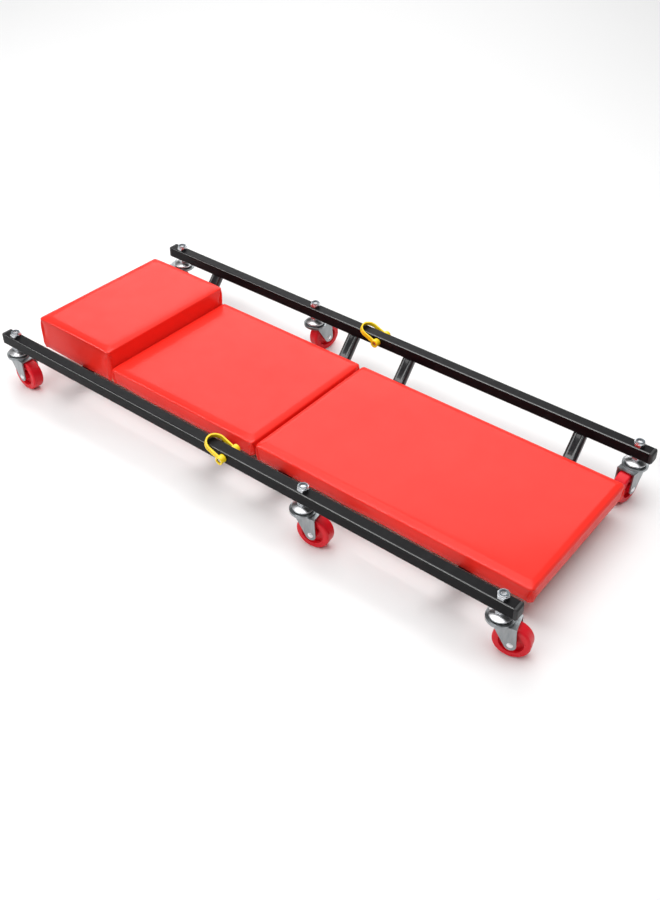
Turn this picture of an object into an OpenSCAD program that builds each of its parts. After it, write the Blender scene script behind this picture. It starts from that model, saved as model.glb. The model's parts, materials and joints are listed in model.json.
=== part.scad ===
// Mechanic's creeper: a low, padded board on two square-tube side rails and six swivel casters.
// It is two half frames of one pattern, turned half a turn from each other about the vertical
// centre line. Each has one long and one short rail. A spigot in the end of every short rail
// slides into the long rail of the other half, and a strapped lock pin goes through both.
//
// X runs along the creeper, with the headrest at -X. Y runs across it, and Z is up.
// The origin is on the floor under the centre of the frame. Millimetres and degrees.

/* [Side rails] */
// Length over the end plugs
frame_length = 1016; // [950:1:1240]
// Distance between the two rails, centre to centre
rail_spacing = 396; // [370:1:500]
// Outer size of the square rail tube
rail_size = 20; // [18:0.5:25]
// Wall of the rail tube
rail_wall = 1.5; // [1.2:0.1:2]
// Outer corner radius of the rail tube
rail_corner = 2.4; // [2.1:0.1:3]
// Thickness of a rail end plug's head
plug_head = 6; // [4:0.5:10]
// Depth of a rail end plug's shank in the tube
plug_shank = 12; // [8:1:15]

/* [Joint between the halves] */
// Distance from the centre to each rail seam
seam_offset = 27; // [20:1:40]
// Length of spigot fixed in its own short rail
spigot_root = 45; // [30:1:60]
// Distance from the centre to each lock pin, away from its rail's seam
pin_offset = 4.5; // [0:0.5:8]
// Length of spigot that passes the lock pin inside the other half's rail
spigot_past_pin = 29; // [20:1:50]
// Wall of the spigot tube
spigot_wall = 1.5; // [1:0.1:2]
// Clearance on each side between spigot and socket
spigot_clear = 0.2; // [0.1:0.05:0.3]
// Diameter of the lock pin
pin_d = 8; // [6:0.5:10]
// How far each pin end stays inside its strap eye
pin_recess = 1.5; // [0.5:0.25:3]

/* [Lock strap] */
// Distance from the pin to the far side of the strap's loop
strap_reach = 42; // [36:1:50]
// Width of the strap band
strap_width = 7; // [6:0.5:10]
// Thickness of the strap band
strap_thickness = 2.6; // [2:0.25:4]
// Diameter of each strap eye
eye_d = 13.5; // [13:0.5:18]
// Length of each strap eye along the pin
eye_length = 10; // [8:0.5:12]
// Width of the groove between the strap's two ribs
groove_width = 2.2; // [1.5:0.1:3.5]
// Depth of the groove between the strap's two ribs
groove_depth = 0.7; // [0.4:0.1:1]

/* [Cross bars] */
// Distance from the centre to the two outer cross bars
bar_end_x = 387; // [350:1:400]
// Distance from the centre to the two inner cross bars
bar_mid_x = 59; // [50:1:75]
// Width of the flattened cross bar tube
bar_width = 23; // [20:0.5:30]
// Thickness of the flattened cross bar tube
bar_thickness = 14; // [12:0.5:16]
// Wall of the cross bar tube
bar_wall = 1.5; // [1.2:0.1:2]
// Slope of each cross bar arm, from the level stretch up to the rail
bar_slope = 50; // [40:1:60]
// Centre-line radius of the cross bar's bends
bar_bend_r = 22; // [16:1:26]

/* [Boards and pads] */
// Height of the underside of the boards above the floor
board_height = 37.5; // [34:0.5:42]
// Thickness of the plywood boards
board_thickness = 9; // [8:0.5:12]
// Width of the pads
pad_width = 278; // [250:1:300]
// Distance from the head end of the frame to the headrest, and from the foot end to the long pad
pad_inset = 13; // [6:1:30]
// Height of the middle and long pads over the boards' underside
pad_rise = 32.5; // [25:0.5:40]
// Height of the headrest over the boards' underside
headrest_rise = 64.5; // [50:0.5:75]
// Length of the headrest
headrest_length = 175; // [150:1:220]
// Gap between the headrest and the middle pad
headrest_gap = 0.6; // [0.4:0.1:2]
// Gap between the two halves' pads
pad_gap = 4; // [2:0.5:10]
// Thickness of cover and foam round the edge of a board
pad_wrap = 4; // [3:0.5:8]
// Corner radius of a pad, seen from above
pad_corner = 6; // [3:0.5:12]
// Diameter of a board screw
board_screw_d = 5; // [4:0.5:6]
// Diameter of a board screw's head
board_screw_head_d = 10; // [8:0.5:11]
// Height of a board screw's head
board_screw_head_h = 3; // [2:0.5:4]
// How far a board screw goes into its board
board_screw_bite = 7; // [5:0.5:7.5]
// Distance across the creeper between a cross bar's two board screws
board_screw_spacing = 200; // [120:5:210]

/* [Casters] */
// Distance from the end of the frame to an end caster's stem
caster_inset = 27; // [26:1:50]
// Distance from the centre to the middle caster's stem on each rail
caster_mid_x = 150; // [130:1:250]
// Wheel diameter
wheel_d = 54; // [45:1:54]
// Wheel tread width
wheel_width = 20; // [16:0.5:22]
// Radius of the tread's rounded edges
tread_edge_r = 3.5; // [1:0.25:5]
// Diameter of the dished sides of the wheel
dish_d = 35; // [28:0.5:38]
// Thickness of the wheel's web between the dishes
web_thickness = 8; // [6:0.5:12]
// Diameter of the wheel's hub
hub_d = 15; // [13:0.5:18]
// Horizontal distance from swivel axis to wheel axle
caster_trail = 20; // [15:0.5:26]
// Diameter of the axle rivet
rivet_d = 6; // [5:0.5:7]
// Diameter of the axle rivet's heads
rivet_head_d = 9; // [8:0.5:12]
// Height of the axle rivet's domed heads
rivet_head_h = 1.8; // [1:0.1:3]
// Outer diameter of the axle bush that the wheel turns on
bush_d = 9; // [8.5:0.25:11]
// Height from the axle to the underside of the fork's crown
fork_drop = 29; // [27:0.5:36]
// Distance between the inner faces of the fork's legs
fork_gap = 26; // [24:0.5:30]
// Thickness of the fork's sheet
fork_sheet = 2; // [1.5:0.1:2.5]
// Diameter of the rounded lower end of each fork leg
fork_end_d = 17; // [14:0.5:20]
// Diameter of the fork's round crown
crown_d = 41; // [38:0.5:46]
// Height of the fork's round crown
crown_height = 4; // [3:0.25:6]
// Diameter of the domed top race
race_d = 33; // [30:0.5:36]
// Height of the domed top race
race_height = 7; // [5.5:0.5:10]
// Gap between the crown and the top race
race_gap = 2; // [1:0.25:2]
// Diameter of the swivel's balls
ball_d = 4; // [3:0.25:4.5]
// Diameter of the circle of balls
ball_circle_d = 25; // [22:0.5:27]
// Number of balls in each swivel
ball_count = 12; // [6:1:16]
// Diameter of the caster's threaded stem
stem_d = 9.5; // [8:0.25:10]
// Width across flats of the nut and of the stem's hexagon
nut_flats = 16; // [13:0.5:17]
// Height of the hexagon under the rail
stem_hex_height = 5; // [4:0.5:8]
// Height of the lock nut's hexagon
nut_height = 5.5; // [5:0.5:8]
// Height of the lock nut's round collar
nut_collar_height = 2.5; // [2:0.5:4]
// Diameter of the washer that keeps the fork on its stem
keeper_d = 18; // [15:0.5:20]
// Thickness of that washer
keeper_thickness = 1.6; // [1:0.1:2]
// Height of the stem's riveted foot under the washer
stem_foot_height = 1.2; // [0.8:0.1:1.5]

/* [Clearances] */
// Radial clearance where a shaft turns or slides
running_clear = 0.08; // [0.02:0.01:0.1]
// Radial clearance of a bolt or screw in its hole
bolt_clear = 0.25; // [0.1:0.05:0.5]
// Clearance between faces that turn past each other
face_clear = 0.3; // [0.2:0.05:0.5]
// Radial clearance of the balls in their grooves
ball_clear = 0.06; // [0.02:0.01:0.1]

/* [Hidden] */
$fn = 64;
overcut = 1;

// Casters: rail side (-1 near, 1 far), place along the rail, and the way the fork trails at rest
CASTERS = ["near_head", "near_mid", "near_foot", "far_head", "far_mid", "far_foot"];
CASTER_SIDE = [-1, -1, -1, 1, 1, 1];
caster_end_x = frame_length / 2 - caster_inset;
CASTER_X = [-caster_end_x, caster_mid_x, caster_end_x, -caster_end_x, -caster_mid_x, caster_end_x];
CASTER_TURN = [-3, 9, 14, 194, 78, -97];

// Heights of the caster's pieces, from the floor up to the rail
axle_z = wheel_d / 2;
crown_z = axle_z + fork_drop;
crown_top_z = crown_z + crown_height;
race_z = crown_top_z + race_gap;
stem_hex_z = race_z + race_height;
rail_z = stem_hex_z + stem_hex_height;
rail_top_z = rail_z + rail_size;
rail_mid_z = rail_z + rail_size / 2;
keeper_z = crown_z - face_clear - keeper_thickness;
stem_foot_z = keeper_z - stem_foot_height;
stem_top_z = rail_top_z + nut_height + nut_collar_height / 2;
race_dome = 4.5;
ball_z = (crown_top_z + race_z) / 2;

rail_y = rail_spacing / 2;
rail_end_x = frame_length / 2 - plug_head;
tube_inside = rail_size - 2 * rail_wall;
inside_corner = rail_corner - rail_wall;
spigot_size = tube_inside - 2 * spigot_clear;
spigot_end_x = pin_offset + spigot_past_pin;
pin_hole_r = pin_d / 2 + running_clear;
eye_inner = rail_size / 2 + face_clear;
eye_outer = eye_inner + eye_length;
pin_half = eye_outer - pin_recess;

// The strap is a loop with straight legs and a round end. It leans towards the head end until
// the lower edge of its band rests just above the rail's top face.
strap_half = eye_inner + (eye_length + strap_thickness) / 2 + 0.5;
strap_inner_r = strap_half - strap_thickness;
strap_straight = strap_reach - strap_half;
rail_flat_half = rail_size / 2 - rail_corner;
strap_near_rail = strap_straight + sqrt(strap_inner_r ^ 2 - rail_flat_half ^ 2);
strap_corner = norm([strap_near_rail, strap_width / 2]);
strap_lean = asin((rail_size / 2 + face_clear) / strap_corner) + atan(strap_width / 2 / strap_near_rail);

bar_z = board_height - bar_thickness / 2;
bar_arm_rise = rail_z - bar_z;
bar_bend_run = bar_bend_r * tan(bar_slope / 2);
bar_elbow_y = rail_y - bar_arm_rise / tan(bar_slope);
bar_level_half = bar_elbow_y - bar_bend_run;
bar_bend_steps = 10;

pad_end_x = frame_length / 2 - pad_inset;
headrest_end_x = pad_end_x - headrest_length;
board_width = pad_width - 2 * pad_wrap;

// Places its children at one caster of the six
module at_caster(i) {
    translate([CASTER_X[i], CASTER_SIDE[i] * rail_y, 0])
        children();
}

module at_each_caster() {
    for (i = [0:len(CASTERS) - 1])
        at_caster(i)
            children();
}

// A rectangle with rounded corners, centred on the origin
module rounded_rectangle(length, width, r) {
    square([length - 2 * r, width], center = true);
    square([length, width - 2 * r], center = true);
    for (x = [-1, 1], y = [-1, 1])
        translate([x * (length / 2 - r), y * (width / 2 - r)])
            circle(r);
}

// A square bar with rounded edges, along +X from x0 to x1
module square_bar(x0, x1, size, r) {
    translate([x0, 0, 0])
        rotate([90, 0, 90])
            linear_extrude(x1 - x0)
                rounded_rectangle(size, size, r);
}

module square_tube(x0, x1, size, r, wall) {
    difference() {
        square_bar(x0, x1, size, r);
        square_bar(x0 - overcut, x1 + overcut, size - 2 * wall, max(r - wall, 0.3));
    }
}

// A hole across a rail for the lock pin of that side
module pin_hole(side) {
    translate([-side * pin_offset, 0, 0])
        rotate([90, 0, 0])
            cylinder(r = pin_hole_r, h = 2 * rail_size, center = true);
}

// A rail on one side of the frame, from x0 to x1, with holes for its casters' stems
module rail(side, x0, x1) {
    color("#1c1c1e")
        difference() {
            translate([0, side * rail_y, rail_mid_z])
                difference() {
                    square_tube(x0, x1, rail_size, rail_corner, rail_wall);
                    pin_hole(side);
                }
            at_each_caster()
                translate([0, 0, rail_z - overcut])
                    cylinder(r = stem_d / 2 + bolt_clear, h = rail_size + 2 * overcut);
        }
}

// The long rails carry two casters and the socket for the other half's spigot
module near_long_rail() {
    rail(-1, -seam_offset, rail_end_x);
}

module far_long_rail() {
    rail(1, -rail_end_x, seam_offset);
}

module near_short_rail() {
    rail(-1, -rail_end_x, -seam_offset);
}

module far_short_rail() {
    rail(1, seam_offset, rail_end_x);
}

// A spigot fills the bore of its short rail and fits the other half's long rail with clearance
module spigot() {
    color("#26262a")
        difference() {
            union() {
                square_bar(-seam_offset - spigot_root, -seam_offset, tube_inside, inside_corner);
                square_bar(-seam_offset - overcut, spigot_end_x, spigot_size, inside_corner);
            }
            square_bar(-seam_offset - spigot_root - overcut, spigot_end_x + overcut,
                       spigot_size - 2 * spigot_wall, inside_corner / 2);
            pin_hole(-1);
        }
}

module near_spigot() {
    translate([0, -rail_y, rail_mid_z])
        spigot();
}

module far_spigot() {
    translate([0, rail_y, rail_mid_z])
        rotate([0, 0, 180])
            spigot();
}

// A plastic plug closes each outer rail end, with a chamfered head
module rail_end_plug() {
    chamfer = plug_head / 3;
    square_bar(rail_end_x - plug_shank, rail_end_x, tube_inside, inside_corner);
    hull() {
        square_bar(rail_end_x, rail_end_x + plug_head - chamfer, rail_size, rail_corner, $fn = 32);
        square_bar(rail_end_x, rail_end_x + plug_head, rail_size - 2 * chamfer, rail_corner, $fn = 32);
    }
}

module rail_end_plugs() {
    color("#111113")
        for (turn = [0, 180], side = [-1, 1])
            rotate([0, 0, turn])
                translate([0, side * rail_y, rail_mid_z])
                    rail_end_plug();
}

// One face of a cross bar seen from its end, from the middle outwards: level, round the bend and
// up the arm to a given height. The face lies off above the bar's centre line.
function bar_face(off, end_z) = concat(
    [for (i = [0:bar_bend_steps])
        let (a = bar_slope * i / bar_bend_steps - 90)
        [bar_level_half, bar_z + bar_bend_r] + (bar_bend_r - off) * [cos(a), sin(a)]],
    [[rail_y - off / sin(bar_slope) + (end_z - rail_z) / tan(bar_slope), end_z]]
);

function mirrored(points) = [for (p = points) [-p[0], p[1]]];

function reversed(points) = [for (i = [len(points) - 1:-1:0]) points[i]];

// A cross bar as a solid, thinner than the tube by an inset on each side
module bent_bar(inset, end_z) {
    upper = bar_face(bar_thickness / 2 - inset, end_z);
    lower = bar_face(inset - bar_thickness / 2, end_z);
    rotate([90, 0, 90])
        linear_extrude(bar_width - 2 * inset, center = true)
            polygon(concat(upper, reversed(lower), mirrored(lower), reversed(mirrored(upper))));
}

// A cross bar joins the two rails of one half frame and carries its board
module cross_bar(x) {
    color("#141416")
        translate([x, 0, 0])
            difference() {
                bent_bar(0, rail_z);
                bent_bar(bar_wall, rail_z + overcut);
                for (side = [-1, 1])
                    translate([0, side * board_screw_spacing / 2, bar_z - bar_thickness])
                        cylinder(d = board_screw_d + 2 * bolt_clear, h = 2 * bar_thickness);
            }
}

module head_end_bar() {
    cross_bar(-bar_end_x);
}

module head_mid_bar() {
    cross_bar(-bar_mid_x);
}

module foot_mid_bar() {
    cross_bar(bar_mid_x);
}

module foot_end_bar() {
    cross_bar(bar_end_x);
}

// A board from x0 to x1, with holes for the screws of its two cross bars
module board(x0, x1) {
    color("#b98a55")
        difference() {
            translate([(x0 + x1) / 2, 0, board_height])
                linear_extrude(board_thickness)
                    rounded_rectangle(x1 - x0, board_width, pad_corner / 2);
            for (x = [-bar_end_x, -bar_mid_x, bar_mid_x, bar_end_x], side = [-1, 1])
                translate([x, side * board_screw_spacing / 2, board_height - overcut])
                    cylinder(d = board_screw_d, h = board_screw_bite + overcut);
        }
}

module head_board() {
    board(-pad_end_x + pad_wrap, -pad_gap / 2 - pad_wrap);
}

module foot_board() {
    board(pad_gap / 2 + pad_wrap, pad_end_x - pad_wrap);
}

// Foam and cover from x0 to x1, wrapped round the edges of the board from board_x0 to board_x1
module pad(x0, x1, rise, board_x0, board_x1) {
    color("#f2423a")
        difference() {
            translate([(x0 + x1) / 2, 0, board_height])
                linear_extrude(rise)
                    rounded_rectangle(x1 - x0, pad_width, pad_corner);
            translate([board_x0, -board_width / 2, board_height - overcut])
                cube([board_x1 - board_x0, board_width, board_thickness + overcut]);
        }
}

module headrest_pad() {
    pad(-pad_end_x, -headrest_end_x, headrest_rise, -pad_end_x + pad_wrap, 0);
}

module middle_pad() {
    pad(-headrest_end_x + headrest_gap, -pad_gap / 2, pad_rise, -pad_end_x, -pad_gap / 2 - pad_wrap);
}

module long_pad() {
    pad(pad_gap / 2, pad_end_x, pad_rise, pad_gap / 2 + pad_wrap, pad_end_x - pad_wrap);
}

// Pan-head screws hold each board down on its cross bars, from below
module board_screws() {
    color("silver")
        for (x = [-bar_end_x, -bar_mid_x, bar_mid_x, bar_end_x], side = [-1, 1])
            translate([x, side * board_screw_spacing / 2, bar_z - bar_thickness / 2]) {
                translate([0, 0, -board_screw_head_h])
                    cylinder(d = board_screw_head_d, h = board_screw_head_h);
                cylinder(d = board_screw_d, h = bar_thickness + board_screw_bite);
            }
}

// A lock pin goes through the strap's eyes, the rail and the spigot
module lock_pin(side) {
    color("#c9ccd0")
        translate([-side * pin_offset, side * rail_y, rail_mid_z])
            rotate([90, 0, 0])
                cylinder(d = pin_d, h = 2 * pin_half, center = true);
}

module near_lock_pin() {
    lock_pin(-1);
}

module far_lock_pin() {
    lock_pin(1);
}

// Outline of the strap's loop between two radii, with its straight legs down to the pin
module strap_outline(inner_r, outer_r) {
    difference() {
        union() {
            translate([strap_straight, 0])
                circle(outer_r);
            translate([0, -outer_r])
                square([strap_straight, 2 * outer_r]);
        }
        translate([strap_straight, 0])
            circle(inner_r);
        translate([-overcut, -inner_r])
            square([strap_straight + overcut, 2 * inner_r]);
    }
}

// A yellow plastic strap holds the pin: two round eyes and a ribbed band over the rail
module lock_strap(side) {
    color("#f4c81e")
        translate([-side * pin_offset, side * rail_y, rail_mid_z])
            difference() {
                rotate([0, strap_lean - 180, 0])
                    difference() {
                        union() {
                            translate([0, 0, -strap_width / 2])
                                linear_extrude(strap_width)
                                    strap_outline(strap_inner_r, strap_half);
                            for (end = [0, 1])
                                mirror([0, end, 0])
                                    translate([0, eye_outer, 0])
                                        rotate([90, 0, 0])
                                            cylinder(d = eye_d, h = eye_length);
                        }
                        translate([eye_d / 2, 0, -groove_width / 2])
                            linear_extrude(groove_width)
                                intersection() {
                                    translate([-eye_d / 2, 0])
                                        strap_outline(strap_half - groove_depth, strap_half + overcut);
                                    translate([0, -2 * strap_half])
                                        square(4 * strap_half);
                                }
                    }
                rotate([90, 0, 0])
                    cylinder(r = pin_hole_r, h = 3 * eye_outer, center = true);
            }
}

module near_lock_strap() {
    lock_strap(-1);
}

module far_lock_strap() {
    lock_strap(1);
}

// Threaded stem, through the rail above and riveted under the fork below
module caster_stems() {
    color("#cfd3d8")
        at_each_caster() {
            translate([0, 0, stem_foot_z])
                cylinder(d = stem_d, h = stem_top_z - stem_foot_z);
            translate([0, 0, stem_foot_z])
                cylinder(d = stem_d + 4, h = stem_foot_height);
        }
}

// Groove for the swivel's balls
module ball_groove() {
    rotate_extrude()
        translate([ball_circle_d / 2, ball_z])
            circle(ball_d / 2 + ball_clear, $fn = 32);
}

// Domed top race, fixed on the stem
module caster_top_races() {
    rim = race_height - race_dome;
    dome_r = ((race_d / 2) ^ 2 + race_dome ^ 2) / (2 * race_dome);
    color("#e4e6ea")
        at_each_caster()
            difference() {
                translate([0, 0, race_z])
                    rotate_extrude()
                        difference() {
                            intersection() {
                                square([race_d / 2, race_height]);
                                translate([0, race_height - dome_r])
                                    circle(dome_r, $fn = 128);
                            }
                            translate([-overcut, -overcut])
                                square([stem_d / 2 + overcut, race_height + 2 * overcut]);
                        }
                ball_groove();
            }
}

// Hexagon between the top race and the rail
module caster_stem_hexes() {
    color("#d6d9dd")
        at_each_caster()
            translate([0, 0, stem_hex_z])
                difference() {
                    cylinder(d = nut_flats / cos(30), h = stem_hex_height, $fn = 6);
                    translate([0, 0, -overcut])
                        cylinder(d = stem_d, h = stem_hex_height + 2 * overcut);
                }
}

// Lock nut on top of the rail: a hexagon with a round collar round its nylon ring
module caster_lock_nuts() {
    color("#d6d9dd")
        at_each_caster()
            translate([0, 0, rail_top_z])
                difference() {
                    union() {
                        cylinder(d = nut_flats / cos(30), h = nut_height, $fn = 6);
                        cylinder(d = nut_flats - 1, h = nut_height + nut_collar_height);
                    }
                    translate([0, 0, -overcut])
                        cylinder(d = stem_d, h = nut_height + nut_collar_height + 2 * overcut);
                }
}

// Washer that keeps the fork up on its stem
module caster_keepers() {
    color("#b9bdc2")
        at_each_caster()
            translate([0, 0, keeper_z])
                difference() {
                    cylinder(d = keeper_d, h = keeper_thickness);
                    translate([0, 0, -overcut])
                        cylinder(d = stem_d, h = keeper_thickness + 2 * overcut);
                }
}

// Point where a line from p touches a circle, on the side given by 1 or -1
function tangent_point(p, centre, r, side) =
    let (
        d = p - centre,
        turn = atan2(d[1], d[0]) + side * acos(r / norm(d))
    )
    centre + r * [cos(turn), sin(turn)];

// A fork leg seen from the side, trailing along +X: wide at the crown, round at the axle
module fork_leg_outline() {
    leg_top = crown_z + fork_sheet;
    lead = [-crown_d / 5, leg_top];
    trail = [caster_trail + fork_end_d / 2 - fork_sheet, leg_top];
    axle = [caster_trail, axle_z];
    polygon([
        lead,
        trail,
        tangent_point(trail, axle, fork_end_d / 2, -1),
        tangent_point(lead, axle, fork_end_d / 2, 1)
    ]);
    translate(axle)
        circle(d = fork_end_d);
}

// Pressed fork: a round crown with the lower race, and two legs down to the axle
module fork() {
    leg_y = fork_gap / 2 + fork_sheet;
    color("#b4b9be")
        difference() {
            union() {
                translate([0, 0, crown_z])
                    cylinder(d = crown_d, h = crown_height);
                translate([0, -leg_y, crown_z])
                    cube([caster_trail + fork_end_d / 2 - fork_sheet, 2 * leg_y, fork_sheet]);
                for (side = [0, 1])
                    mirror([0, side, 0])
                        translate([0, -fork_gap / 2, 0])
                            rotate([90, 0, 0])
                                linear_extrude(fork_sheet)
                                    fork_leg_outline();
            }
            translate([0, 0, crown_z - overcut])
                cylinder(r = stem_d / 2 + running_clear, h = crown_height + 2 * overcut);
            translate([caster_trail, 0, axle_z])
                rotate([90, 0, 0])
                    cylinder(d = rivet_d, h = 4 * leg_y, center = true);
            ball_groove();
        }
}

// Axle rivet through both fork legs, with a domed head at each end
module axle() {
    leg_y = fork_gap / 2 + fork_sheet;
    dome_r = ((rivet_head_d / 2) ^ 2 + rivet_head_h ^ 2) / (2 * rivet_head_h);
    color("#dde0e4")
        translate([caster_trail, 0, axle_z])
            rotate([90, 0, 0]) {
                cylinder(d = rivet_d, h = 2 * leg_y, center = true);
                for (end = [0, 1])
                    mirror([0, 0, end])
                        translate([0, 0, leg_y])
                            rotate_extrude()
                                intersection() {
                                    square([rivet_head_d / 2, rivet_head_h]);
                                    translate([0, rivet_head_h - dome_r])
                                        circle(dome_r, $fn = 128);
                                }
            }
}

// Steel bush between the fork's legs, round the rivet
module axle_bush() {
    color("#c3c7cc")
        translate([caster_trail, 0, axle_z])
            rotate([90, 0, 0])
                difference() {
                    cylinder(d = bush_d, h = fork_gap, center = true);
                    cylinder(d = rivet_d, h = fork_gap + 2 * overcut, center = true);
                }
}

// Balls between the crown and the top race
module swivel_balls() {
    color("silver")
        for (i = [0:ball_count - 1])
            rotate(i * 360 / ball_count)
                translate([ball_circle_d / 2, 0, ball_z])
                    sphere(d = ball_d, $fn = 24);
}

// Half outline of the wheel: radius along x, width along y
module wheel_outline() {
    hub_half = fork_gap / 2 - face_clear;
    difference() {
        union() {
            square([wheel_d / 2, wheel_width / 2 - tread_edge_r]);
            square([wheel_d / 2 - tread_edge_r, wheel_width / 2]);
            translate([wheel_d / 2 - tread_edge_r, wheel_width / 2 - tread_edge_r])
                circle(tread_edge_r);
        }
        translate([0, web_thickness / 2])
            square([dish_d / 2, wheel_width]);
    }
    square([hub_d / 2, hub_half]);
}

// Red moulded wheel that turns on the axle bush
module wheel() {
    color("#e0242c")
        translate([caster_trail, 0, axle_z])
            rotate([90, 0, 0])
                difference() {
                    for (side = [0, 1])
                        mirror([0, 0, side])
                            rotate_extrude()
                                wheel_outline();
                    cylinder(r = bush_d / 2 + running_clear, h = 2 * fork_gap, center = true);
                }
}

// One piece of every caster, turned to that caster's resting direction
module caster_piece(i) {
    at_caster(i)
        rotate(CASTER_TURN[i])
            children();
}

near_long_rail();
near_short_rail();
far_long_rail();
far_short_rail();
near_spigot();
far_spigot();
rail_end_plugs();
head_end_bar();
head_mid_bar();
foot_mid_bar();
foot_end_bar();
head_board();
foot_board();
headrest_pad();
middle_pad();
long_pad();
board_screws();
near_lock_pin();
far_lock_pin();
near_lock_strap();
far_lock_strap();
caster_stems();
caster_top_races();
caster_stem_hexes();
caster_lock_nuts();
caster_keepers();
for (i = [0:len(CASTERS) - 1]) {
    caster_piece(i) fork();
    caster_piece(i) axle();
    caster_piece(i) axle_bush();
    caster_piece(i) swivel_balls();
    caster_piece(i) wheel();
}
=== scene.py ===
"""A mechanic's creeper: padded boards hung low between two black rails, on six red casters."""

import json
import math

import bpy
from mathutils import Matrix, Vector, noise


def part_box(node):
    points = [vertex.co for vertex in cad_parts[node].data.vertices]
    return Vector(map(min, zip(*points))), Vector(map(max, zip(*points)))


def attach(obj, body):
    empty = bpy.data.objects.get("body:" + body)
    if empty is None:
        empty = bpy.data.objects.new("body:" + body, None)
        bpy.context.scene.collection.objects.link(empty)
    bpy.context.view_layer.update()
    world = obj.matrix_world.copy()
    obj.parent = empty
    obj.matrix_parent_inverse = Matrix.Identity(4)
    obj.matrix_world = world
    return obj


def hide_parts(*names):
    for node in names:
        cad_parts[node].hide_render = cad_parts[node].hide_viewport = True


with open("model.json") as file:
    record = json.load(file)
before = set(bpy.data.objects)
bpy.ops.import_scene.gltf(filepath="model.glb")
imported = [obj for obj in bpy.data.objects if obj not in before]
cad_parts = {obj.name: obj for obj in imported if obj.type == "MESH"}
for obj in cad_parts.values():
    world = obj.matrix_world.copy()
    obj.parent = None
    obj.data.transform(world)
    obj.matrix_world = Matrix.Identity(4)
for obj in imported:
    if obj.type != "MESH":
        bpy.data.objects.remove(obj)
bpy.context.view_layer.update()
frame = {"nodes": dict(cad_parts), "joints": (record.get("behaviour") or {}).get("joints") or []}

# The studio: a pale floor in a white room. A broad soft box hangs overhead, a panel behind the far
# side puts the sheen on the pads, and a strip over the near side lines the rails' edges. The camera
# stands off the near corner of the foot end and looks down along the whole creeper.

FLOOR_SIZE = 30
FLOOR_PAINT = (0.86, 0.86, 0.86, 1)
ROOM_BRIGHTNESS = 0.24
CAMERA_PLACE = Vector((0.9006, -1.0891, 1.1123))
CAMERA_AHEAD = Vector((-0.4745, 0.652, -0.5914)).normalized()
CAMERA_UP = Vector((-0.3726, 0.4599, 0.806))
CAMERA_LENS = 43.4
CAMERA_SHIFT = (-0.038, -0.0586)


def deselect_all():
    """Leaves edit mode and lets go of everything."""
    if bpy.context.object and bpy.context.object.mode != "OBJECT":
        bpy.ops.object.mode_set(mode="OBJECT")
    bpy.ops.object.select_all(action="DESELECT")


def soft_box(name, place, aim, width, depth, watts):
    """A rectangular light at a place, turned to shine at its aim."""
    deselect_all()
    bpy.ops.object.light_add(type="AREA", location=place)
    light = bpy.context.object
    light.name = name
    light.data.shape = "RECTANGLE"
    light.data.size = width
    light.data.size_y = depth
    light.data.energy = watts
    light.rotation_euler = (Vector(aim) - Vector(place)).to_track_quat("-Z", "Y").to_euler()


deselect_all()
bpy.ops.mesh.primitive_plane_add(size=FLOOR_SIZE)
floor = bpy.context.object
floor.name = "studio_floor"
floor_paint = bpy.data.materials.new("pale_floor")
floor_paint.use_nodes = True
floor_shader = floor_paint.node_tree.nodes["Principled BSDF"]
floor_shader.inputs["Base Color"].default_value = FLOOR_PAINT
floor_shader.inputs["Roughness"].default_value = 0.9
floor.data.materials.append(floor_paint)

soft_box("overhead_box", (0.0, 0.1, 2.4), (0, 0, 0), 3.2, 2.2, 62)
soft_box("back_panel", (-1.9, 2.6, 2.1), (0, 0, 0.05), 3.4, 2.0, 52)
soft_box("near_strip", (-1.1, -1.83, 1.7), (-1.1, -0.1, 0.07), 3.4, 0.5, 30)

room = bpy.data.worlds.new("white_room")
room.use_nodes = True
room.node_tree.nodes["Background"].inputs["Color"].default_value = (1, 1, 1, 1)
room.node_tree.nodes["Background"].inputs["Strength"].default_value = ROOM_BRIGHTNESS
bpy.context.scene.world = room
bpy.context.scene.view_settings.view_transform = "Standard"

camera_right = CAMERA_AHEAD.cross(CAMERA_UP).normalized()
camera_up = camera_right.cross(CAMERA_AHEAD)
deselect_all()
bpy.ops.object.camera_add()
camera = bpy.context.object
camera.matrix_world = Matrix.Translation(CAMERA_PLACE) @ Matrix(
    (camera_right, camera_up, -CAMERA_AHEAD)
).transposed().to_4x4()
camera.data.sensor_width = 36
camera.data.lens = CAMERA_LENS
camera.data.shift_x, camera.data.shift_y = CAMERA_SHIFT
bpy.context.scene.camera = camera

# Side rails, in square steel tube with a satin black powder coat, and the spigots that join them.
# The coat has a fine orange-peel skin and a little dust, and it is rubbed glossy along the tube's
# rounded edges: there the distances from the tube's middle, across and up, have a large product.

TUBES = ("near_long_rail", "near_short_rail", "far_long_rail", "far_short_rail", "near_spigot", "far_spigot")
EDGE_SPAN = (0.81, 0.86)


class Value:
    """A number that changes over a surface. Arithmetic on it adds Math nodes."""

    def __init__(self, socket):
        self.socket = socket

    def math(self, operation, a, b):
        tree = self.socket.node.id_data
        node = tree.nodes.new("ShaderNodeMath")
        node.operation = operation
        for slot, value in zip(node.inputs, (a, b)):
            if isinstance(value, Value):
                tree.links.new(value.socket, slot)
            else:
                slot.default_value = value
        return Value(node.outputs[0])

    def __add__(self, other):
        return self.math("ADD", self, other)

    def __sub__(self, other):
        return self.math("SUBTRACT", self, other)

    def __rsub__(self, other):
        return self.math("SUBTRACT", other, self)

    def __mul__(self, other):
        return self.math("MULTIPLY", self, other)

    __radd__ = __add__
    __rmul__ = __mul__


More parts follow.
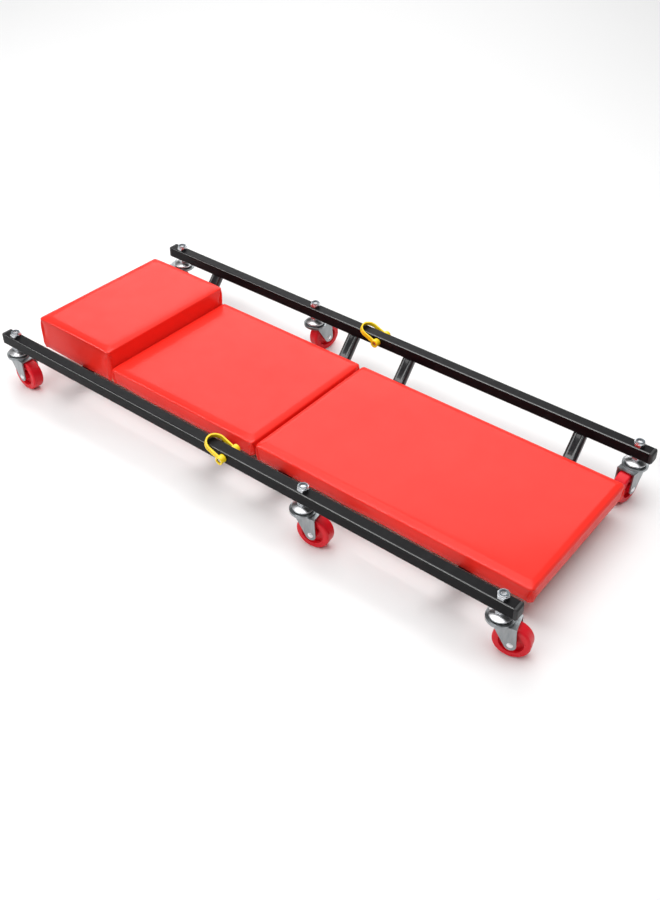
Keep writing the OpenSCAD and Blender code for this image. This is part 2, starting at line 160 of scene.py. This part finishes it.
class Finish:
    """A material in the making. Constants go on the shader, and drive() links patterns to it."""

    def __init__(self, name, **constants):
        self.material = bpy.data.materials.new(name)
        self.material.use_nodes = True
        self.tree = self.material.node_tree
        self.shader = self.tree.nodes["Principled BSDF"]
        for socket, value in constants.items():
            self.shader.inputs[socket.replace("_", " ")].default_value = value

    def node(self, kind, settings=None, inputs=None, output=0):
        """A node of any kind, with its settings made first, then its inputs' values or links."""
        node = self.tree.nodes.new(kind)
        for key, value in (settings or {}).items():
            setattr(node, key, value)
        for key, value in (inputs or {}).items():
            if isinstance(value, Value):
                self.tree.links.new(value.socket, node.inputs[key])
            else:
                node.inputs[key].default_value = value
        return Value(node.outputs[output])

    def place(self, stretch=(1, 1, 1)):
        """Where a point is on the object, with its pattern made finer by the stretch."""
        here = self.node("ShaderNodeTexCoord", output="Object")
        return self.node("ShaderNodeMapping", {}, {"Vector": here, "Scale": stretch})

    def cloud(self, scale, detail=2.0, place=None, roughness=0.5):
        """Noise about 0.5, with features 1/scale metres across."""
        where = place or self.place()
        return self.node("ShaderNodeTexNoise", {}, {
            "Vector": where, "Scale": scale, "Detail": detail, "Roughness": roughness})

    def size_of(self, value):
        """A value without its sign."""
        return self.node("ShaderNodeMath", {"operation": "ABSOLUTE"}, {0: value})

    def ramp(self, value, low, high, start=0.0, end=1.0):
        """A value taken from the range low to high onto start to end, and held there."""
        return self.node("ShaderNodeMapRange", {"clamp": True}, {
            "Value": value, "From Min": low, "From Max": high, "To Min": start, "To Max": end})

    def blend(self, factor, a, b):
        """Colour a where the factor is 0, and colour b where it is 1."""
        return self.node("ShaderNodeMix", {"data_type": "RGBA"}, {0: factor, 6: a, 7: b}, output=2)

    def bump(self, height, depth):
        """Raised and sunk by a height of 0 to 1, depth metres in all."""
        return self.node("ShaderNodeBump", {}, {"Height": height, "Distance": depth, "Strength": 1.0})

    def drive(self, **sockets):
        """Links patterns to the shader's sockets."""
        for name, value in sockets.items():
            self.tree.links.new(value.socket, self.shader.inputs[name.replace("_", " ")])
        return self.material


def dress(nodes, material):
    """Gives CAD nodes their finish."""
    for name in nodes:
        slots = frame["nodes"][name].data.materials
        slots.clear()
        slots.append(material)


def powder_coat():
    coat = Finish("satin_black_powder_coat", Specular_IOR_Level=0.12, Coat_Roughness=0.14, Coat_IOR=2.1)
    peel = coat.cloud(1400, 2)
    dust = coat.ramp(coat.cloud(60, 5, roughness=0.65), 0.5, 0.78)
    colour = coat.blend(dust, (0.003, 0.0028, 0.0036, 1), (0.009, 0.0086, 0.0098, 1))
    roughness = coat.ramp(coat.cloud(240, 3), 0.3, 0.7, 0.36, 0.48)
    low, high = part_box("near_long_rail")
    half = (high.z - low.z) / 2
    here = coat.node("ShaderNodeTexCoord", output="Object")
    split = coat.node("ShaderNodeSeparateXYZ", {}, {0: here}).socket.node
    aside = coat.size_of(Value(split.outputs[1])) + (low.y + half)
    above = Value(split.outputs[2]) - (low.z + half)
    on_edge = coat.size_of(aside * above) * (1 / half ** 2)
    return coat.drive(Base_Color=colour, Roughness=roughness, Coat_Weight=coat.ramp(on_edge, *EDGE_SPAN),
                      Normal=coat.bump(peel, 0.00006))


dress(TUBES, powder_coat())

# Rail end plugs, moulded in black plastic, with a chamfered head pushed into each outer tube end.
# The moulding has the fine spark grain of its tool.

PLUG_EDGE = 0.0009


def edit_all():
    """Goes into edit mode with every vertex selected."""
    bpy.ops.object.mode_set(mode="EDIT")
    bpy.ops.mesh.select_mode(type="VERT")
    bpy.ops.mesh.select_all(action="SELECT")


def picked(piece, kind, test):
    """Selects what passes a test on the whole piece, and goes into edit mode."""
    bpy.ops.object.mode_set(mode="EDIT")
    bpy.ops.mesh.select_mode(type=kind)
    bpy.ops.mesh.select_all(action="DESELECT")
    bpy.ops.object.mode_set(mode="OBJECT")
    parts = {"FACE": piece.data.polygons, "EDGE": piece.data.edges, "VERT": piece.data.vertices}
    for part in parts[kind]:
        part.select = test(part)
    bpy.ops.object.mode_set(mode="EDIT")


def modify(piece, kind, **settings):
    """Adds a modifier and applies it."""
    modifier = piece.modifiers.new(kind.lower(), kind)
    for key, value in settings.items():
        setattr(modifier, key, value)
    bpy.context.view_layer.objects.active = piece
    bpy.ops.object.modifier_apply(modifier=modifier.name)


def finished(piece, name, material, smooth=35):
    """Settles a piece in place, names it, smooths its shading and gives it its finish."""
    deselect_all()
    piece.select_set(True)
    bpy.context.view_layer.objects.active = piece
    bpy.ops.object.transform_apply(location=True, rotation=True, scale=True)
    bpy.ops.object.shade_smooth_by_angle(angle=math.radians(smooth))
    piece.name = piece.data.name = name
    piece.data.materials.clear()
    piece.data.materials.append(material)
    return piece


def copied(node):
    """A copy of a CAD node with its triangles joined into whole faces."""
    deselect_all()
    source = frame["nodes"][node]
    piece = bpy.data.objects.new(node + "_copy", source.data.copy())
    bpy.context.collection.objects.link(piece)
    piece.select_set(True)
    bpy.context.view_layer.objects.active = piece
    edit_all()
    bpy.ops.mesh.remove_doubles(threshold=0.00001)
    bpy.ops.mesh.dissolve_limited(angle_limit=math.radians(1.0))
    bpy.ops.object.mode_set(mode="OBJECT")
    return piece


def rounded_off(piece, width, segments=2, sharp=32):
    """Rounds off every edge that turns by more than sharp degrees."""
    modify(piece, "BEVEL", width=width, segments=segments, limit_method="ANGLE",
           angle_limit=math.radians(sharp))


def stands_for(piece, node, body):
    """Puts a finished piece in the place of its CAD node."""
    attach(piece, body)
    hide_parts(node)


def eased(node, name, material, width, body, segments=2):
    """A CAD node's own shape with its sharp edges rounded off."""
    piece = copied(node)
    rounded_off(piece, width, segments)
    stands_for(finished(piece, name, material), node, body)


def plug_plastic():
    plastic = Finish("grained_black_plastic")
    grain = plastic.cloud(2600, 3)
    roughness = plastic.ramp(plastic.cloud(500, 2), 0.3, 0.7, 0.42, 0.58)
    colour = plastic.blend(plastic.cloud(90, 3), (0.010, 0.010, 0.011, 1), (0.018, 0.018, 0.019, 1))
    return plastic.drive(Base_Color=colour, Roughness=roughness, Normal=plastic.bump(grain, 0.00008))


eased("rail_end_plugs", "rail_end_plug_mouldings", plug_plastic(), PLUG_EDGE, "frame")

# Boards, cut from birch plywood. The grain runs along the creeper, and the edges show the plies.
# The cover is wrapped round their edges, so only their undersides show, between the cross bars.

BOARDS = ("head_board", "foot_board")
BOARD_UPRIGHT = 0.008
BOARD_CORNER_Y = 0.13
BOARD_CORNER_R = 0.011
BOARD_EDGE = 0.0007


def birch_plywood():
    ply = Finish("birch_plywood")
    along = ply.place((1.0, 9.0, 9.0))
    bands = ply.cloud(9, 4, along, 0.6)
    pores = ply.ramp(ply.cloud(420, 2, ply.place((0.05, 1, 1))), 0.56, 0.72)
    wood = ply.blend(ply.ramp(bands, 0.35, 0.68), (0.62, 0.43, 0.25, 1), (0.47, 0.29, 0.15, 1))
    colour = ply.blend(pores * 0.5, wood, (0.30, 0.17, 0.08, 1))
    return ply.drive(Base_Color=colour, Roughness=ply.ramp(bands, 0.3, 0.7, 0.62, 0.78),
                     Normal=ply.bump(bands + pores * -0.4, 0.0002))


def cut_board(board, plywood):
    """The CAD board with its four corners sawn round and its edges broken with sandpaper."""
    piece = copied(board)
    points = piece.data.vertices

    def at_corner(edge):
        one, other = (points[i].co for i in edge.vertices)
        return abs(one.z - other.z) > BOARD_UPRIGHT and abs(one.y) > BOARD_CORNER_Y

    picked(piece, "EDGE", at_corner)
    bpy.ops.mesh.bevel(offset=BOARD_CORNER_R, segments=6)
    bpy.ops.object.mode_set(mode="OBJECT")
    rounded_off(piece, BOARD_EDGE, sharp=40)
    stands_for(finished(piece, board + "_plywood", plywood), board, "frame")


plywood = birch_plywood()
for board in BOARDS:
    cut_board(board, plywood)

# Pads, of foam under a smooth red vinyl cover, which is pulled down round the board. The foam
# swells the cover a little between its edges. At each corner the cover is folded over itself, and
# the fold's edge runs down the side as a crease.

FACE_SIZE = 0.006
ROW_HEIGHT = 0.0035
CROWDING = 0.72
EDGE_POWER = 1.4
SIM_FRAMES = 20
HELD_HEIGHT = 0.004
TOP_SWELL = 0.0026
SIDE_SWELL = 0.0012
UNDER_CLEARANCE = 0.00036
BORDER = 0.0068
BORDER_RISE = 0.001
FOLD_DEPTH = 0.0031
FOLD_WIDTH = 0.0017
LONG_SIDE_FOLD = (0.004, 0.006)
END_SIDE_FOLD = (0.003, 0.011)
FLAP = 0.0013
TUCK = 0.0016
RIPPLE = 0.0018
WAVE = 0.0003


def red_vinyl():
    vinyl = Finish("smooth_red_vinyl", Specular_IOR_Level=0.13, Coat_Roughness=0.1)
    leather = vinyl.node("ShaderNodeTexVoronoi", {"feature": "DISTANCE_TO_EDGE"},
                         {"Vector": vinyl.place(), "Scale": 620.0})
    grain = vinyl.ramp(leather, 0.0, 0.22) * 0.6 + vinyl.cloud(1500, 2) * 0.4
    slow = vinyl.cloud(7, 3)
    colour = vinyl.blend(vinyl.ramp(slow, 0.3, 0.7), (0.86, 0.022, 0.013, 1), (0.93, 0.030, 0.019, 1))
    roughness = vinyl.ramp(vinyl.cloud(38, 4), 0.3, 0.7, 0.34, 0.43)
    tight = vinyl.node("ShaderNodeAttribute", {"attribute_name": "drawn_tight"}, output="Fac")
    return vinyl.drive(Base_Color=colour, Roughness=roughness, Coat_Weight=vinyl.ramp(tight, 0, 1, 0.17, 0.9),
                       Normal=vinyl.bump(grain, 0.00005))


def eased_step(value, width):
    """0 at 0 and below, 1 at width and above, and smooth between."""
    share = max(0.0, min(1.0, value / width))
    return share * share * (3 - 2 * share)


def crowded(share):
    """Moves evenly spaced shares of a length closer together at both ends."""
    return share - CROWDING * math.sin(2 * math.pi * share) / (2 * math.pi)


def foam_block(low, high, radius):
    """A block in rows of faces that are closer together at its edges. Its edges are rounded but
    flattest in their middle, and its lower rim is sharp."""
    size = high - low
    deselect_all()
    bpy.ops.mesh.primitive_grid_add(
        x_subdivisions=round(size.x / FACE_SIZE), y_subdivisions=round(size.y / FACE_SIZE), size=1,
        location=(low.x + size.x / 2, low.y + size.y / 2, low.z), scale=(size.x, size.y, 1))
    block = bpy.context.object
    bpy.ops.object.transform_apply(location=True, rotation=True, scale=True)
    edit_all()
    rows = max(8, round(size.z / ROW_HEIGHT))
    for _ in range(rows):
        bpy.ops.mesh.extrude_region_move(TRANSFORM_OT_translate={"value": (0, 0, size.z / rows)})
    bpy.ops.mesh.select_all(action="SELECT")
    bpy.ops.mesh.normals_make_consistent(inside=False)
    bpy.ops.object.mode_set(mode="OBJECT")
    for vertex in block.data.vertices:
        point = vertex.co
        point.x = low.x + size.x * crowded((point.x - low.x) / size.x)
        point.y = low.y + size.y * crowded((point.y - low.y) / size.y)
        point.z = high.z - size.z * (1 - (point.z - low.z) / size.z) ** 1.5
        core = Vector((
            max(low.x + radius, min(high.x - radius, point.x)),
            max(low.y + radius, min(high.y - radius, point.y)),
            min(high.z - radius, point.z)))
        out = point - core
        if max(abs(part) for part in out) > radius * 0.999:
            spread = sum(abs(part) ** EDGE_POWER for part in out) ** (1 / EDGE_POWER)
            vertex.co = core + out * (radius / spread)
    return block


def swollen(pad, low, high):
    """Blows the cover out with cloth, holding its lower edge. The push fades out towards the pad's
    edges, where the cover is drawn tight over the foam."""
    start = [v.co.copy() for v in pad.data.vertices]
    held = pad.vertex_groups.new(name="held_edge")
    held.add([v.index for v in pad.data.vertices if v.co.z < low.z + HELD_HEIGHT], 1.0, "REPLACE")
    cloth = pad.modifiers.new("cloth", "CLOTH")
    cloth.settings.quality = 4
    cloth.settings.mass = 0.4
    cloth.settings.tension_stiffness = 25
    cloth.settings.compression_stiffness = 25
    cloth.settings.bending_stiffness = 4
    cloth.settings.use_pressure = True
    cloth.settings.uniform_pressure_force = 4
    cloth.settings.vertex_group_mass = "held_edge"
    cloth.settings.effector_weights.gravity = 0
    cloth.point_cache.frame_start = 1
    cloth.point_cache.frame_end = SIM_FRAMES
    for step in range(1, SIM_FRAMES + 1):
        bpy.context.scene.frame_set(step)
    bpy.context.view_layer.objects.active = pad
    bpy.ops.object.modifier_apply(modifier="cloth")
    bpy.context.scene.frame_set(1)
    pad.vertex_groups.clear()
    for vertex, was in zip(pad.data.vertices, start):
        push = vertex.co - was
        from_x = min(was.x - low.x, high.x - was.x)
        from_y = min(was.y - low.y, high.y - was.y)
        top_share = eased_step(min(from_x, from_y), 0.06)
        drop_share = eased_step(high.z - was.z, 0.012)
        x_share = drop_share * eased_step(from_y, 0.03)
        y_share = drop_share * eased_step(from_x, 0.03)
        vertex.co.x = was.x + x_share * max(-SIDE_SWELL, min(SIDE_SWELL, push.x))
        vertex.co.y = was.y + y_share * max(-SIDE_SWELL, min(SIDE_SWELL, push.y))
        vertex.co.z = was.z + top_share * max(0, min(TOP_SWELL, push.z))


def folded(along, drop, fold, depth):
    """How far the cover stands out at a point on a pad's side, by its distance from the corner and
    its drop below the top: the flap lies proud up to the fold's edge, which is sunk."""
    start, slant = fold
    edge = start + slant * drop
    near = math.exp(-(((along - edge) / FOLD_WIDTH) ** 2))
    flap = FLAP * (1 - eased_step(along - edge + FOLD_WIDTH, 2 * FOLD_WIDTH))
    return (flap - depth * near) * eased_step(drop, 0.16)


def dressed_cover(pad, low, high):
    """Folds the cover at the corners, draws it in under the board and lets its sides ripple."""
    height = high.z - low.z
    for vertex in pad.data.vertices:
        point = vertex.co
        x_side = 1 if point.x * 2 > low.x + high.x else -1
        y_side = 1 if point.y > 0 else -1
        from_x = (high.x - point.x) if x_side > 0 else (point.x - low.x)
        from_y = (high.y - point.y) if y_side > 0 else (point.y - low.y)
        inside = max(0.0, min(from_x, from_y))
        drop = max(0.0, min(1.0, (high.z - 0.004 - point.z) / height))
        skin = 1 - eased_step(inside - 0.001, 0.004)
        if drop > 0:
            depth = FOLD_DEPTH * (0.25 + 0.75 * eased_step(point.z - low.z, 0.012))
            if from_y < from_x:
                point.y += y_side * folded(from_x, drop, LONG_SIDE_FOLD, depth) * skin
            else:
                point.x += x_side * folded(from_y, drop, END_SIDE_FOLD, depth) * skin
        ripple = noise.noise(Vector((point.x * 16, y_side * 3.0, point.z * 18)))
        point.y += y_side * RIPPLE * ripple * skin * eased_step(drop, 0.3)
        under = 1 - eased_step(point.z - low.z, 0.009)
        point.x -= x_side * TUCK * under * (1 - eased_step(from_x, 0.012))
        point.y -= y_side * TUCK * under * (1 - eased_step(from_y, 0.012))
        if point.z > high.z - 0.003:
            point.z += BORDER_RISE * eased_step(inside - BORDER, 0.0024)
            point.z += WAVE * noise.noise(Vector((point.x * 8, point.y * 8, 3.0)))


def mark_tight_edges(pad):
    """Marks how far each point is on a drawn edge, where neither the top nor a side is flat."""
    tight = pad.data.attributes.new("drawn_tight", "FLOAT", "POINT")
    for vertex, mark in zip(pad.data.vertices, tight.data):
        mark.value = eased_step(min(abs(vertex.normal.z), vertex.normal.xy.length) - 0.3, 0.25)


def covered_pad(node, name, radius, vinyl):
    """A pad that swells out to about its CAD box, from a little inside it."""
    low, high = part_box(node)
    low = low + Vector((SIDE_SWELL * 0.6, SIDE_SWELL * 0.6, UNDER_CLEARANCE))
    high = high - Vector((SIDE_SWELL * 0.6, SIDE_SWELL * 0.6, TOP_SWELL + BORDER_RISE))
    pad = foam_block(low, high, radius)
    swollen(pad, low, high)
    modify(pad, "SUBSURF", levels=1, render_levels=1)
    dressed_cover(pad, low, high)
    mark_tight_edges(pad)
    pad = finished(pad, name, vinyl, 60)
    stands_for(pad, node, "frame")


vinyl = red_vinyl()
covered_pad("headrest_pad", "headrest_cushion", 0.0042, vinyl)
covered_pad("middle_pad", "middle_cushion", 0.0042, vinyl)
covered_pad("long_pad", "long_cushion", 0.0052, vinyl)

# Hems, where the cover is turned under the boards, and the steel staples that hold them. They are
# on the underside, and the cross bars press them flat.

HEM_WIDTH = 0.026
HEM_THICKNESS = 0.0009
HEM_WAVE = 0.0022
STAPLE_SIZE = (0.0105, 0.0008, 0.0007)
STAPLE_STEP = 0.042
STAPLE_SWAY = 6


def turned_hem(board, vinyl):
    """A flat border round the underside of a board, with an uneven cut edge inside."""
    low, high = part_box(board)
    size = high - low
    deselect_all()
    bpy.ops.mesh.primitive_plane_add(size=1, location=((low.x + high.x) / 2, 0, low.z - HEM_THICKNESS / 2))
    hem = bpy.context.object
    hem.scale = (size.x, size.y, 1)
    bpy.ops.object.transform_apply(location=True, rotation=True, scale=True)
    edit_all()
    bpy.ops.mesh.inset(thickness=HEM_WIDTH)
    bpy.ops.mesh.delete(type="FACE")
    bpy.ops.mesh.select_all(action="SELECT")
    bpy.ops.mesh.subdivide(number_cuts=24)
    bpy.ops.object.mode_set(mode="OBJECT")
    cut_edge = HEM_WIDTH - 0.002
    for vertex in hem.data.vertices:
        point = vertex.co
        wave = HEM_WAVE * noise.noise(Vector((point.x * 30, point.y * 30, 0)))
        if abs(point.y) < size.y / 2 - cut_edge and low.x + cut_edge < point.x < high.x - cut_edge:
            point.y += wave
            point.x += wave
    modify(hem, "SOLIDIFY", thickness=HEM_THICKNESS, offset=0)
    hem = finished(hem, board + "_hem", vinyl)
    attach(hem, "frame")


def staple_row(board, wire):
    """Staples all round a hem, each a little askew."""
    low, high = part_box(board)
    inset = HEM_WIDTH * 0.62
    spots = []
    count = round((high.x - low.x - 2 * inset) / STAPLE_STEP)
    for i in range(count + 1):
        x = low.x + inset + i * (high.x - low.x - 2 * inset) / count
        spots += [(x, low.y + inset, 90), (x, high.y - inset, 90)]
    count = round((high.y - low.y - 2 * inset) / STAPLE_STEP)
    for i in range(1, count):
        y = low.y + inset + i * (high.y - low.y - 2 * inset) / count
        spots += [(low.x + inset, y, 0), (high.x - inset, y, 0)]
    deselect_all()
    made = []
    for x, y, turn in spots:
        sway = STAPLE_SWAY * math.sin(x * 700 + y * 300)
        bpy.ops.mesh.primitive_cube_add(
            size=1, location=(x, y, low.z - HEM_THICKNESS - STAPLE_SIZE[2] / 3),
            rotation=(0, 0, math.radians(turn - 90 + sway)))
        bpy.context.object.scale = STAPLE_SIZE
        made.append(bpy.context.object)
    for piece in made:
        piece.select_set(True)
    bpy.ops.object.join()
    row = bpy.context.object
    bpy.ops.object.transform_apply(location=True, rotation=True, scale=True)
    modify(row, "BEVEL", width=0.00025, segments=2)
    row = finished(row, board + "_staples", wire)
    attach(row, "frame")


def staple_wire():
    wire = Finish("galvanised_staple_wire", Metallic=1.0)
    colour = wire.blend(wire.cloud(900, 3), (0.55, 0.56, 0.58, 1), (0.72, 0.73, 0.75, 1))
    return wire.drive(Base_Color=colour, Roughness=wire.ramp(wire.cloud(400, 3), 0.3, 0.7, 0.3, 0.45))


wire = staple_wire()
for board in BOARDS:
    turned_hem(board, vinyl)
    staple_row(board, wire)

# Casters. The stems, hexagons, nuts and keeper washers are steel, turned or cold formed and zinc
# plated. The swivel's domed top race is polished before it is plated and comes out like chrome.

CASTERS = ("near_head", "near_mid", "near_foot", "far_head", "far_mid", "far_foot")
NUT_EDGE = 0.0006


def zinc_plate():
    zinc = Finish("zinc_plate", Metallic=1.0)
    bloom = zinc.cloud(300, 4)
    colour = zinc.blend(zinc.ramp(bloom, 0.3, 0.7), (0.38, 0.40, 0.42, 1), (0.60, 0.61, 0.63, 1))
    turned = zinc.cloud(1200, 2)
    return zinc.drive(Base_Color=colour, Roughness=zinc.ramp(bloom, 0.3, 0.7, 0.16, 0.3),
                      Normal=zinc.bump(turned, 0.00004))


def bright_plate():
    chrome = Finish("bright_plate", Metallic=1.0)
    haze = chrome.cloud(180, 4)
    colour = chrome.blend(haze, (0.80, 0.81, 0.83, 1), (0.92, 0.92, 0.93, 1))
    return chrome.drive(Base_Color=colour, Roughness=chrome.ramp(haze, 0.3, 0.75, 0.3, 0.4),
                        Normal=chrome.bump(chrome.cloud(700, 2), 0.00002))


zinc = zinc_plate()
bright = bright_plate()
dress(("caster_stems", "caster_keepers", "board_screws"), zinc)
dress([c + "_axle_bush" for c in CASTERS] + [c + "_swivel_balls" for c in CASTERS], zinc)
dress([c + "_axle" for c in CASTERS], bright)
dress(("caster_top_races",), bright)
eased("caster_lock_nuts", "lock_nuts", zinc, NUT_EDGE, "frame")
eased("caster_stem_hexes", "stem_hexagons", zinc, NUT_EDGE, "frame")

# Forks, each pressed from one zinc-plated steel sheet: a round crown with two legs bent down. A
# crease stiffens each leg, and the axle is riveted through both.

FORK_EDGE = 0.0006
CREASE_LEAD = 0.0085
CROWN_HEIGHT = 0.0041
LEG_INSIDE = 0.0128
LEG_LEAN = 0.13


def pressed_zinc():
    sheet = Finish("pressed_zinc_sheet", Metallic=1.0)
    draw = sheet.cloud(160, 4, sheet.place((1, 1, 0.2)))
    colour = sheet.blend(sheet.ramp(draw, 0.3, 0.7), (0.25, 0.27, 0.28, 1), (0.40, 0.42, 0.43, 1))
    return sheet.drive(Base_Color=colour, Roughness=sheet.ramp(draw, 0.3, 0.7, 0.3, 0.44),
                       Normal=sheet.bump(sheet.cloud(600, 3), 0.00005))


def pressed_fork(caster, plate):
    """The CAD fork with a crease down each leg. Ahead of it, the leg leans in towards the wheel."""
    spin = next(j for j in frame["joints"] if j["name"] == caster + "_wheel_spin")
    axle, across = Vector(spin["pos_m"]), Vector(spin["axis"])
    ahead = across.cross(Vector((0, 0, 1)))
    fork = copied(caster + "_fork")
    crease = axle - ahead * CREASE_LEAD
    edit_all()
    bpy.ops.mesh.bisect(plane_co=crease, plane_no=ahead)
    bpy.ops.object.mode_set(mode="OBJECT")
    shoulder_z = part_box(caster + "_fork")[1].z - CROWN_HEIGHT
    for vertex in fork.data.vertices:
        point = vertex.co - axle
        side, lead = point.dot(across), point.dot(ahead) + CREASE_LEAD
        if abs(side) > LEG_INSIDE and lead < 0 and vertex.co.z < shoulder_z:
            vertex.co += across * math.copysign(LEG_LEAN * lead, side)
    rounded_off(fork, FORK_EDGE, sharp=28)
    fork = finished(fork, caster + "_fork_pressing", plate, 20)
    stands_for(fork, caster + "_fork", caster + "_swivel")


fork_plate = pressed_zinc()
for caster in CASTERS:
    pressed_fork(caster, fork_plate)

# Nylon rings, pressed into the collars of the lock nuts. They grip the stems' threads, so that the
# nuts can't shake loose as the creeper rolls.

RING_RADIUS = 0.0058
RING_THICKNESS = 0.0012


def nylon():
    ring = Finish("nut_nylon", Roughness=0.45, Subsurface_Weight=0.1)
    colour = ring.blend(ring.cloud(300, 2), (0.10, 0.12, 0.14, 1), (0.17, 0.19, 0.21, 1))
    return ring.drive(Base_Color=colour, Normal=ring.bump(ring.cloud(900, 2), 0.00004))


def nylon_rings():
    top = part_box("caster_lock_nuts")[1].z
    deselect_all()
    made = []
    for joint in frame["joints"]:
        if joint["name"].endswith("_swivel_turn"):
            x, y, _ = joint["pos_m"]
            bpy.ops.mesh.primitive_torus_add(
                location=(x, y, top - 0.0002), major_radius=RING_RADIUS, minor_radius=RING_THICKNESS,
                major_segments=40, minor_segments=12)
            made.append(bpy.context.object)
    for piece in made:
        piece.select_set(True)
    bpy.ops.object.join()
    rings = finished(bpy.context.object, "nut_nylon_rings", nylon(), 60)
    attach(rings, "frame")


nylon_rings()

# Wheels, each moulded in one piece of red plastic, with dished sides and a plain round tread. The
# plastic is glossy, and a little paler where it is scuffed.


def wheel_plastic():
    plastic = Finish("red_wheel_plastic", Specular_IOR_Level=0.28)
    scuff = plastic.ramp(plastic.cloud(420, 5, roughness=0.7), 0.52, 0.74)
    colour = plastic.blend(scuff * 0.3, (0.74, 0.007, 0.018, 1), (0.80, 0.05, 0.05, 1))
    roughness = plastic.ramp(plastic.cloud(150, 4), 0.3, 0.7, 0.26, 0.42)
    return plastic.drive(Base_Color=colour, Roughness=roughness,
                         Normal=plastic.bump(plastic.cloud(900, 2), 0.00005))


dress([c + "_wheel" for c in CASTERS], wheel_plastic())

# Cross bars, of steel tube pressed nearly flat, with a flute down each wide face. They are bent up
# at both ends, where they are welded under the rails, and enamelled gloss black.

BARS = ("head_end_bar", "head_mid_bar", "foot_mid_bar", "foot_end_bar")
BAR_HALF_WIDTH = 0.0115
BAR_HALF_THICKNESS = 0.007
BAR_SQUARENESS = 0.62
BAR_GROOVE = 0.0011
BAR_GROOVE_WIDTH = 0.0034
BAR_SLOPE = math.radians(50)
BAR_BEND_R = 0.022
SPADE_LENGTH = 0.006
SPADE_DEPTH = 0.0014
SPADE_SPREAD = 1.1


def black_enamel():
    enamel = Finish("gloss_black_enamel", Specular_IOR_Level=0.25, Coat_Weight=0.5, Coat_Roughness=0.05)
    colour = enamel.blend(enamel.cloud(70, 4), (0.008, 0.008, 0.009, 1), (0.016, 0.016, 0.018, 1))
    return enamel.drive(Base_Color=colour, Roughness=enamel.ramp(enamel.cloud(200, 3), 0.3, 0.7, 0.14, 0.26),
                        Normal=enamel.bump(enamel.cloud(500, 2), 0.00006))


def bent_tube(bar, rail_y, enamel):
    """A fluted tube, made as its far half from the middle out and mirrored. The top of each arm is
    pressed flatter and wider, where it is welded."""
    low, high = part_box(bar)
    x = (low.x + high.x) / 2
    middle_z = low.z + BAR_HALF_THICKNESS
    slope = Vector((0, math.cos(BAR_SLOPE), math.sin(BAR_SLOPE)))
    elbow_y = rail_y - (high.z - middle_z) / math.tan(BAR_SLOPE)
    level_half = elbow_y - BAR_BEND_R * math.tan(BAR_SLOPE / 2)
    deselect_all()
    bpy.ops.mesh.primitive_circle_add(vertices=48, radius=1, rotation=(math.pi / 2, 0, 0))
    tube = bpy.context.object
    bpy.ops.object.transform_apply(location=True, rotation=True, scale=True)
    for vertex in tube.data.vertices:
        u, v = vertex.co.x, vertex.co.z
        wide = math.copysign(abs(u) ** BAR_SQUARENESS, u) * BAR_HALF_WIDTH
        thick = math.copysign(abs(v) ** BAR_SQUARENESS, v) * BAR_HALF_THICKNESS
        flute = BAR_GROOVE * math.exp(-((wide / BAR_GROOVE_WIDTH) ** 2))
        vertex.co = (x + wide, 0, middle_z + thick - math.copysign(flute, v) * min(1, abs(v) * 4))
    edit_all()
    bpy.ops.mesh.extrude_region_move(TRANSFORM_OT_translate={"value": (0, level_half, 0)})
    bend = (x, level_half, middle_z + BAR_BEND_R)
    bpy.ops.mesh.spin(steps=10, angle=-BAR_SLOPE, center=bend, axis=(1, 0, 0))
    arm = (high.z - middle_z) / math.sin(BAR_SLOPE) - BAR_BEND_R * math.tan(BAR_SLOPE / 2)
    bpy.ops.mesh.extrude_region_move(TRANSFORM_OT_translate={"value": slope * (arm - SPADE_LENGTH)})
    bpy.ops.mesh.extrude_region_move(TRANSFORM_OT_translate={"value": slope * 2 * SPADE_LENGTH})
    bpy.ops.mesh.select_all(action="SELECT")
    top_z = high.z - 0.0002
    bpy.ops.mesh.bisect(plane_co=(x, 0, top_z), plane_no=(0, 0, 1), clear_outer=True, use_fill=True)
    bpy.ops.object.mode_set(mode="OBJECT")
    pressed_y = rail_y - BAR_HALF_THICKNESS / math.sin(BAR_SLOPE) + SPADE_DEPTH
    for vertex in tube.data.vertices:
        if vertex.co.z > top_z - 0.0001:
            vertex.co.y = max(vertex.co.y, pressed_y)
            vertex.co.x = x + (vertex.co.x - x) * SPADE_SPREAD
    modify(tube, "MIRROR", use_axis=(False, True, False), merge_threshold=0.0001)
    edit_all()
    bpy.ops.mesh.normals_make_consistent(inside=False)
    bpy.ops.object.mode_set(mode="OBJECT")
    stands_for(finished(tube, bar + "_tube", enamel, 32), bar, "frame")


enamel = black_enamel()
rail_low, rail_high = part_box("far_long_rail")
for bar in BARS:
    bent_tube(bar, (rail_low.y + rail_high.y) / 2, enamel)

# Lock straps and pins. A strap is one glossy yellow moulding, an arched band with an eye at each
# end. The steel pin goes through its eyes, the rail and the spigot.

STRAP_EDGE = 0.0008
PIN_EDGE = 0.0008


def yellow_plastic():
    plastic = Finish("glossy_yellow_plastic")
    tone = plastic.cloud(55, 3)
    colour = plastic.blend(tone, (0.90, 0.60, 0.006, 1), (0.97, 0.70, 0.014, 1))
    return plastic.drive(Base_Color=colour, Roughness=plastic.ramp(tone, 0.3, 0.7, 0.22, 0.34),
                         Normal=plastic.bump(plastic.cloud(800, 2), 0.00004))


yellow = yellow_plastic()
for side in ("near", "far"):
    eased(side + "_lock_strap", side + "_strap_moulding", yellow, STRAP_EDGE, side + "_strap",
          segments=3)
    eased(side + "_lock_pin", side + "_pin_steel", zinc, PIN_EDGE, side + "_pin")
